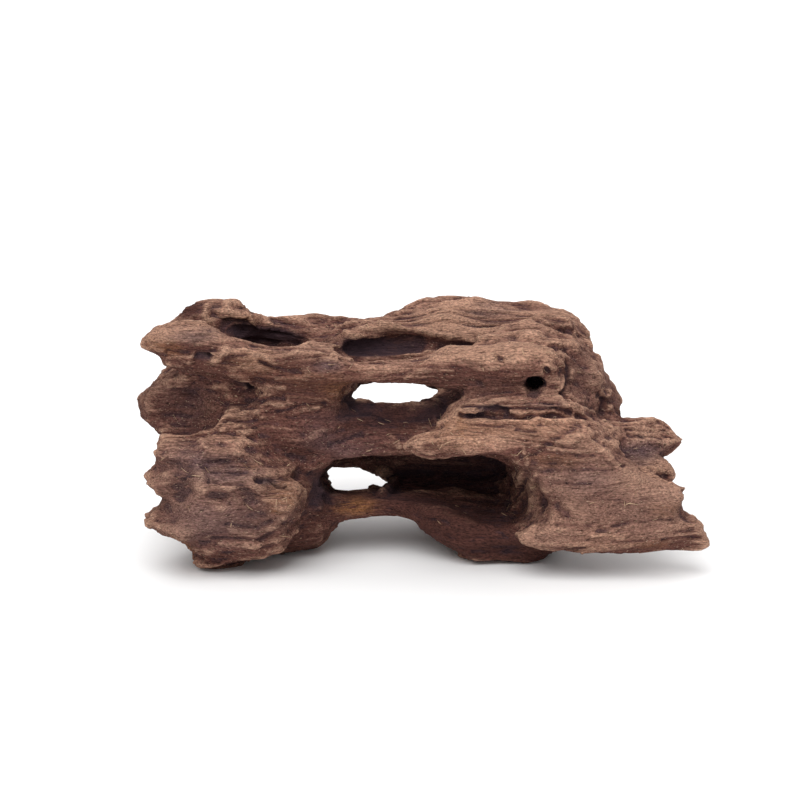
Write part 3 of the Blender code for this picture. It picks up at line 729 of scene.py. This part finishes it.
def relief(points, normals, tree):
    """The fine relief of the skin: points moved along their normals, and along X at the broken ends."""
    along = np.clip(np.abs(normals[:, 0]), 0, 1)
    side = np.sqrt(1 - along ** 2)
    bent = grain_space(points)
    rough = roughness(points, tree)
    grain = ridged(bent, GRAIN_SIZE)
    threads = ridged(bent + SHIFTS["threads"], THREAD_SIZE, octaves=1)
    _, seam, bundles = cells(bent + SHIFTS["bundles"], BUNDLE_SIZE)
    _, thin_seam, splinters = cells(bent + SHIFTS["splinters"], SPLINTER_SIZE)
    wander = cloudy(bent + SHIFTS["wander"], WANDER_SIZE)
    ledges = steps((bent[:, 2] + LEDGE_TILT * bent[:, 1]) / LEDGE_HEIGHT + LEDGE_WANDER * wander)
    cracks = ramp(ridged(bent + SHIFTS["cracks"], CRACK_SIZE), *CRACK_SPAN)
    pits = ramp(cells(bent + SHIFTS["pits"], PIT_SIZE)[0], *PIT_SPAN) - 1
    crumbs = cloudy(points + SHIFTS["crumbs"], CRUMB_SIZE)
    outward = (GRAIN_DEPTH * grain + THREAD_DEPTH * threads + LEDGE_DEPTH * ledges - CRACK_DEPTH * cracks
               + BUNDLE_DEPTH * bundles + SPLINTER_DEPTH * splinters) * side
    outward -= (SEAM_DEPTH * (1 - ramp(seam, 0, SEAM_WIDTH))
                + THIN_SEAM_DEPTH * (1 - ramp(thin_seam, 0, THIN_SEAM_WIDTH)))
    outward += (PIT_DEPTH * pits * np.clip(rough - PITS_FROM, 0, None)
                + CRUMB_DEPTH * crumbs * np.clip(rough - CRUMBS_FROM, 0, None))
    layers = layers_of(points, bent, normals, wander, tree)
    moved = points + normals * (outward * rough + LAYER_RISE * layers - scored(points, tree))[:, None]
    torn = bent + SHIFTS["ends"]
    ends = cells(torn, END_SIZE)[2] + cloudy(torn, END_SIZE)
    moved[:, 0] += END_DEPTH * ends * np.sign(normals[:, 0]) * along ** END_POWER * rough
    return moved


def remeshed(node):
    """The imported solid's surface as a new object, with small even faces and rounded a little."""
    obj = bpy.data.objects.new("wood_skin", node.data.copy())
    bpy.context.scene.collection.objects.link(obj)
    fuse = obj.modifiers.new("fuse", "REMESH")
    fuse.mode = "VOXEL"
    fuse.voxel_size = SKIN_VOXEL * MM
    ease = obj.modifiers.new("ease", "SMOOTH")
    ease.factor = EASING_FACTOR
    ease.iterations = EASING
    settle(obj)
    return obj


def skin_of(node, low, high):
    """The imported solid's surface with its fine relief, kept inside the solid's box."""
    obj = remeshed(node)
    tree = tree_of(obj.data)
    points = points_of(obj.data)
    soft = eased_points(points, edges_of(obj.data), SMOOTHING)
    share = np.clip(zones(points, placed(tree, SMOOTHED)), 0, MOST_SMOOTHED)[:, None]
    move_points(obj.data, points + share * (soft - points))
    move_points(obj.data, relief(points_of(obj.data), normals_of(obj.data), tree))
    thin = obj.modifiers.new("thin", "DECIMATE")
    thin.ratio = min(1, SKIN_TRIANGLES / (2 * len(obj.data.polygons)))
    settle(obj)
    move_points(obj.data, np.clip(points_of(obj.data), low + MARGIN, high - MARGIN))
    obj.data.shade_smooth()
    return obj


def standing_out(points, normals, edges, rounds):
    """How far each point stands out of the surface round it, in mm."""
    return ((points - eased_points(points, edges, rounds)) * normals).sum(axis=1)


def shelter(mesh, reach, rays):
    """How closed in each point is, 0 in the open to 1: how near the wood round it is, over a set of rays."""
    tree = tree_of(mesh)
    golden = math.pi * (3 - math.sqrt(5))
    lift = [1 - (k + 0.5) / rays for k in range(rays)]
    weight = sum(lift)
    spread = []
    for k, h in enumerate(lift):
        flat = math.sqrt(1 - h * h)
        spread.append(Vector((flat * math.cos(golden * k), flat * math.sin(golden * k), h)))
    closed = []
    for point, normal in zip(points_of(mesh).tolist(), normals_of(mesh).tolist()):
        normal = Vector(normal)
        start = Vector(point) + normal * RAY_START
        turn = normal.to_track_quat("Z", "Y").to_matrix()
        total = 0
        for ray, h in zip(spread, lift):
            distance = tree.ray_cast(start, turn @ ray, reach)[3]
            if distance is not None:
                total += h * (1 - distance / reach)
        closed.append(total / weight)
    return np.array(closed)


def store(mesh, name, values):
    """Keeps a value for each point as an attribute that the material reads."""
    vector = values.ndim == 2
    layer = mesh.attributes.new(name, "FLOAT_VECTOR" if vector else "FLOAT", "POINT")
    layer.data.foreach_set("vector" if vector else "value", values.astype(np.float32).ravel())


def describe(obj):
    """Gives the skin the values that its colours follow."""
    mesh = obj.data
    points, normals, edges = points_of(mesh), normals_of(mesh), edges_of(mesh)
    tree = tree_of(mesh)
    fine = standing_out(points, normals, edges, FINE_ROUNDS)
    broad = standing_out(points, normals, edges, BROAD_ROUNDS)
    closed = shelter(mesh, SHELTER_REACH, SHELTER_RAYS)
    store(mesh, "grain", grain_space(points))
    store(mesh, "fine_ridge", eased(fine, edges, FINE_SOFTENING))
    store(mesh, "broad_ridge", eased(broad, edges, BROAD_SOFTENING))
    store(mesh, "shelter", eased(closed, edges, SHELTER_SOFTENING))
    # How far each point faces up, which paints light on the upper faces
    store(mesh, "upward", normals[:, 2])
    for name, table in PATCHES.items():
        store(mesh, name, np.clip(zones(points, placed(tree, table)), -1, 1))


def feed(tree, socket, value):
    """Links a socket to another, or sets its value."""
    if isinstance(value, bpy.types.NodeSocket):
        tree.links.new(value, socket)
    else:
        socket.default_value = value


def add(tree, kind, inputs=None, **settings):
    """A node with its settings, its inputs linked or set."""
    made = tree.nodes.new(kind)
    for name, value in settings.items():
        setattr(made, name, value)
    for name, value in (inputs or {}).items():
        feed(tree, made.inputs[name], value)
    return made


def new_material(name):
    """A material, its node tree and its shader."""
    made = bpy.data.materials.new(name)
    made.use_nodes = True
    return made, made.node_tree, made.node_tree.nodes["Principled BSDF"]


def product(tree, a, b):
    return add(tree, "ShaderNodeMath", {0: a, 1: b}, operation="MULTIPLY").outputs[0]


def weighed(tree, values, weights):
    """The sum of named values, each times its weight."""
    total = 0.0
    for name, weight in weights.items():
        inputs = {0: values[name], 1: weight, 2: total}
        total = add(tree, "ShaderNodeMath", inputs, operation="MULTIPLY_ADD").outputs[0]
    return total


def faded(tree, value, span):
    """A value as a share: 0 at the span's low end, 1 at its high end, smooth between."""
    inputs = {"Value": value, "From Min": span[0], "From Max": span[1]}
    return add(tree, "ShaderNodeMapRange", inputs, interpolation_type="SMOOTHSTEP").outputs["Result"]


def scaled(tree, value, span, limits):
    """A value stretched from a span to other limits."""
    return add(tree, "ShaderNodeMapRange", {
        "Value": value, "From Min": span[0], "From Max": span[1],
        "To Min": limits[0], "To Max": limits[1]}).outputs["Result"]


def plain_noise(tree, place, scale):
    """Plain noise at a place, its scale in cells for each metre."""
    inputs = {"Vector": place, "Scale": scale, "Detail": PLAIN_DETAIL}
    return add(tree, "ShaderNodeTexNoise", inputs).outputs["Fac"]


def streaks(tree, grain, size, detail, shift):
    """Noise drawn out along the grain: size in mm along X, Y and Z."""
    stretched = add(tree, "ShaderNodeMapping", {
        "Vector": grain, "Scale": tuple(1 / s for s in size), "Location": (shift, shift, shift)})
    made = add(tree, "ShaderNodeTexNoise", {
        "Vector": stretched.outputs[0], "Scale": 1.0, "Detail": detail, "Roughness": STREAK_ROUGHNESS})
    return made.outputs["Fac"]


def mixed(tree, share, a, b, blend="MIX"):
    """Colour a, turning into b, or multiplied by it, as the share grows."""
    made = add(tree, "ShaderNodeMix", data_type="RGBA", blend_type=blend)
    sockets = [s for s in made.inputs if s.enabled]
    for socket, value in zip(sockets, (share, a, b)):
        feed(tree, socket, value)
    return next(s for s in made.outputs if s.enabled)


def painted(tree, colour, paint, cover, *shares):
    """A colour under a paint that covers it as far as the product of its shares says."""
    for share in shares:
        cover = product(tree, share, cover)
    return mixed(tree, cover, colour, paint)


def attribute(tree, name, kind="Fac"):
    return add(tree, "ShaderNodeAttribute", attribute_name=name).outputs[kind]


def skin_values(tree):
    """What the wood's material reads: the skin's attributes and the streaks along its grain, by name."""
    names = "fine_ridge", "broad_ridge", "shelter", "upward", *PATCHES
    values = {name: attribute(tree, name) for name in names}
    grain = attribute(tree, "grain", "Vector")
    for name, (size, detail, shift) in STREAKS.items():
        values[name] = streaks(tree, grain, size, detail, shift)
    return values


def wood_colour(tree, values):
    """Weathered root wood: painted shade in its hollows and grooves, tan on its worn ridges, painted light
    on its upper faces, streaked along the grain.
    """
    not_dark = add(tree, "ShaderNodeMath", {0: 1.0, 1: values["dark"]}, operation="SUBTRACT", use_clamp=True)
    clear = not_dark.outputs[0]
    fine, hairs = values["fine_ridge"], values["hairs"]

    # The wood itself, its worn ridges, and painted light on the faces that look up
    colour = mixed(tree, faded(tree, weighed(tree, values, STREAKED), STREAKED_SPAN), DARK_WOOD, MID_WOOD)
    worn_and_toplit = faded(tree, weighed(tree, values, WORN_AND_TOPLIT), WORN_AND_TOPLIT_SPAN)
    colour = painted(tree, colour, TAN_WOOD, TAN_COVER, worn_and_toplit)

    # Patches on the front, and pale edges of fibres, partly worn and partly painted highlight
    # The dark patches: dark wood, and partly painted shadow
    colour = painted(tree, colour, DARK_WOOD, DARK_AND_SHADOW_COVER, values["dark"])
    colour = painted(tree, colour, EVEN_WOOD, EVEN_COVER, values["even"])
    edges = faded(tree, fine, EDGE_SPAN), faded(tree, hairs, EDGE_HAIR_SPAN)
    colour = painted(tree, colour, WORN_AND_HIGHLIT_WOOD, WORN_AND_HIGHLIT_COVER, *edges, clear)
    ash = values["ash"], faded(tree, values["blotches"], BLOTCH_SPAN)
    colour = painted(tree, colour, ASH_WOOD, ASH_COVER, *ash)
    ochre = values["ochre"], faded(tree, values["narrow"], BLOTCH_SPAN)
    colour = painted(tree, colour, OCHRE_WOOD, OCHRE_COVER, *ochre)

    # Painted shade in the fine grooves, and dark threads and hairs
    colour = painted(tree, colour, GROOVE_SHADE, GROOVE_SHADE_COVER, faded(tree, product(tree, fine, -1.0), GROOVE_SPAN))
    threads = faded(tree, product(tree, values["narrow"], -1.0), THREAD_SPAN)
    colour = painted(tree, colour, DARK_WOOD, THREAD_COVER, threads)
    colour = painted(tree, colour, DARK_WOOD, HAIR_COVER, faded(tree, hairs, HAIR_SPAN))

    # Grit, pale specks, and the shade of the hollows
    grit = scaled(tree, weighed(tree, values, GRAINY), GRIT_SPAN, GRIT_SHADES)
    colour = mixed(tree, 1.0, colour, grit, "MULTIPLY")
    colour = painted(tree, colour, PALE_WOOD, PALE_COVER, clear, faded(tree, values["specks"], SPECK_SPAN))
    shaded = faded(tree, weighed(tree, values, SHADED), SHADED_SPAN)
    return painted(tree, colour, SHADE_WOOD, SHADE_COVER, shaded)


def wood_material():
    made, tree, shader = new_material("weathered_wood")
    values = skin_values(tree)
    rough = faded(tree, values["narrow"], WOOD_ROUGH_SPAN)
    bump = add(tree, "ShaderNodeBump", {
        "Height": weighed(tree, values, RAISED), "Strength": 1.0, "Distance": WOOD_BUMP * MM})
    feed(tree, shader.inputs["Base Color"], wood_colour(tree, values))
    feed(tree, shader.inputs["Roughness"], scaled(tree, rough, (0, 1), WOOD_ROUGHNESS))
    feed(tree, shader.inputs["Normal"], bump.outputs["Normal"])
    shader.inputs["Metallic"].default_value = 0
    shader.inputs["Specular IOR Level"].default_value = WOOD_SPECULAR
    return made


def fibre_spots(tree, rng):
    """Where the splinters lie: place, normal of the wood, length."""
    spots = []
    while len(spots) < FIBRES:
        turn, lift = rng.uniform(0, 2 * math.pi), rng.uniform(LOWEST_AIM, 1)
        flat = math.sqrt(1 - lift ** 2)
        aim = Vector((math.cos(turn) * flat, math.sin(turn) * flat, lift))
        heart = Vector([rng.uniform(*ends) for ends in zip(HEART_LOW, HEART_HIGH)])
        spot, normal = tree.ray_cast(heart + aim * FAR, -aim)[:2]
        if spot and FIBRE_LENGTH[1] < spot.z:
            spots.append((spot, normal, rng.uniform(*FIBRE_LENGTH)))
    for px, py in FIBRE_PIXELS:
        spot, normal = tree.ray_cast(*sight(px, py))[:2]
        if spot:
            spots.append((spot, normal, rng.uniform(*LONG_FIBRE)))
    return spots


def sliver(rng, spot, normal, length):
    """Points of one splinter: the corners of its section, from its first end to its last."""
    across = normal.cross(Vector([rng.gauss(0, spread) for spread in FIBRE_TURN])).normalized()
    along = across.cross(normal)
    thick = rng.uniform(*FIBRE_THICKNESS)
    bend = rng.uniform(-FIBRE_BEND, FIBRE_BEND) * length
    points = []
    for step in range(FIBRE_STEPS + 1):
        t = step / FIBRE_STEPS
        wave = math.sin(math.pi * (FIBRE_TAPER + (1 - 2 * FIBRE_TAPER) * t))
        wide = thick * (FIBRE_TIP + (1 - FIBRE_TIP) * wave)
        rise = FIBRE_RISE + 0.5 * thick + FIBRE_LIFT * length * t ** 2
        middle = spot + along * length * (t - 0.5) + across * bend * t * t + normal * rise
        points += [middle + across * wide * side + normal * wide * up for side, up in FIBRE_SECTION]
    return points


def sliver_faces(first):
    """Faces of one splinter whose points start at a number: its sides and its two ends."""
    corners = len(FIBRE_SECTION)
    faces = []
    for step in range(FIBRE_STEPS):
        ring = first + corners * step
        for k in range(corners):
            a, b = ring + k, ring + (k + 1) % corners
            faces.append((a, b, b + corners, a + corners))
    last = first + corners * FIBRE_STEPS
    return faces + [(first + 2, first + 1, first), (last, last + 1, last + 2)]


def fibres(tree, low, high):
    """Loose splinters that lie on the wood inside its box: thin curved slivers."""
    rng = random.Random(FIBRE_SEED)
    points, faces = [], []
    for spot, normal, length in fibre_spots(tree, rng):
        faces += sliver_faces(len(points))
        points += sliver(rng, spot, normal, length)
    mesh = bpy.data.meshes.new("fibres")
    points = np.clip(np.array(points), low + MARGIN, high - MARGIN)
    mesh.from_pydata((points * MM).tolist(), [], faces)
    made = bpy.data.objects.new("fibres", mesh)
    bpy.context.scene.collection.objects.link(made)
    mesh.shade_smooth()
    return made


def fibre_material():
    """Pale to brown dry fibre."""
    made, tree, shader = new_material("loose_fibres")
    spot = add(tree, "ShaderNodeTexCoord").outputs["Object"]
    tint = faded(tree, plain_noise(tree, spot, FIBRE_TINT_SCALE), FIBRE_TINT_SPAN)
    fine = plain_noise(tree, spot, FIBRE_FINE_SCALE)
    bump = add(tree, "ShaderNodeBump", {
        "Height": fine, "Strength": FIBRE_BUMP_SHARE, "Distance": FIBRE_BUMP * MM})
    feed(tree, shader.inputs["Base Color"], mixed(tree, tint, FIBRE_DARK, FIBRE_PALE))
    feed(tree, shader.inputs["Roughness"], scaled(tree, fine, (0, 1), FIBRE_ROUGHNESS))
    feed(tree, shader.inputs["Normal"], bump.outputs["Normal"])
    shader.inputs["Specular IOR Level"].default_value = FIBRE_SPECULAR
    return made


def floor_material():
    made, tree, shader = new_material("studio_floor")
    spot = add(tree, "ShaderNodeTexCoord").outputs["Object"]
    shade = plain_noise(tree, spot, FLOOR_NOISE_SCALE)
    feed(tree, shader.inputs["Base Color"], mixed(tree, shade, *FLOOR_SHADES))
    shader.inputs["Roughness"].default_value = FLOOR_ROUGHNESS
    return made


def lay_floor(scene):
    """The pale floor, just below the wood."""
    near, far = -FLOOR_REACH, FLOOR_REACH
    corners = [(x, y, -FLOOR_DROP) for x, y in ((near, near), (far, near), (far, far), (near, far))]
    mesh = bpy.data.meshes.new("floor")
    mesh.from_pydata(corners, [], [(0, 1, 2, 3)])
    mesh.materials.append(floor_material())
    floor = bpy.data.objects.new("floor", mesh)
    scene.collection.objects.link(floor)


def light_room(scene):
    """White light from all round, and the soft lamps."""
    world = bpy.data.worlds.new("studio")
    world.use_nodes = True
    background = world.node_tree.nodes["Background"]
    background.inputs["Color"].default_value = (1, 1, 1, 1)
    background.inputs["Strength"].default_value = ROOM_LIGHT
    scene.world = world
    for name, spot, strength, breadth in LAMPS:
        sun = bpy.data.lights.new(name, "SUN")
        sun.energy = strength
        sun.angle = math.radians(breadth)
        lamp = bpy.data.objects.new(name, sun)
        lamp.location = spot
        lamp.rotation_euler = (-Vector(spot)).to_track_quat("-Z", "Y").to_euler()
        scene.collection.objects.link(lamp)


def set_camera(scene):
    """The camera of the photograph."""
    lens = bpy.data.cameras.new("camera")
    lens.lens = LENS
    lens.sensor_width = SENSOR
    lens.clip_end = VIEW_END
    camera = bpy.data.objects.new("camera", lens)
    camera.location = Vector(CAMERA_AT) * MM
    camera.rotation_euler = camera_turn().to_euler()
    scene.collection.objects.link(camera)
    scene.camera = camera


def studio():
    scene = bpy.context.scene
    lay_floor(scene)
    light_room(scene)
    set_camera(scene)
    scene.view_settings.view_transform = "Standard"


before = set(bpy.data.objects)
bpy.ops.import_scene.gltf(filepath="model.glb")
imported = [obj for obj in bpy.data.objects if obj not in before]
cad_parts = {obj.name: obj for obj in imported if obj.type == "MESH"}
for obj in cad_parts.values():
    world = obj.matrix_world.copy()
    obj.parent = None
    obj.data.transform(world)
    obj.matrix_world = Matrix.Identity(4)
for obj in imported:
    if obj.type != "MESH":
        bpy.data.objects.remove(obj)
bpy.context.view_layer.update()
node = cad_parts["honeycomb_wood"]
low, high = (np.array(corner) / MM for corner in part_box("honeycomb_wood"))
skin = skin_of(node, low, high)
describe(skin)
skin.data.materials.clear()
skin.data.materials.append(wood_material())
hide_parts("honeycomb_wood")
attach(skin, "root")
splinters = fibres(tree_of(skin.data), low, high)
splinters.data.materials.append(fibre_material())
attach(splinters, "root")
studio()
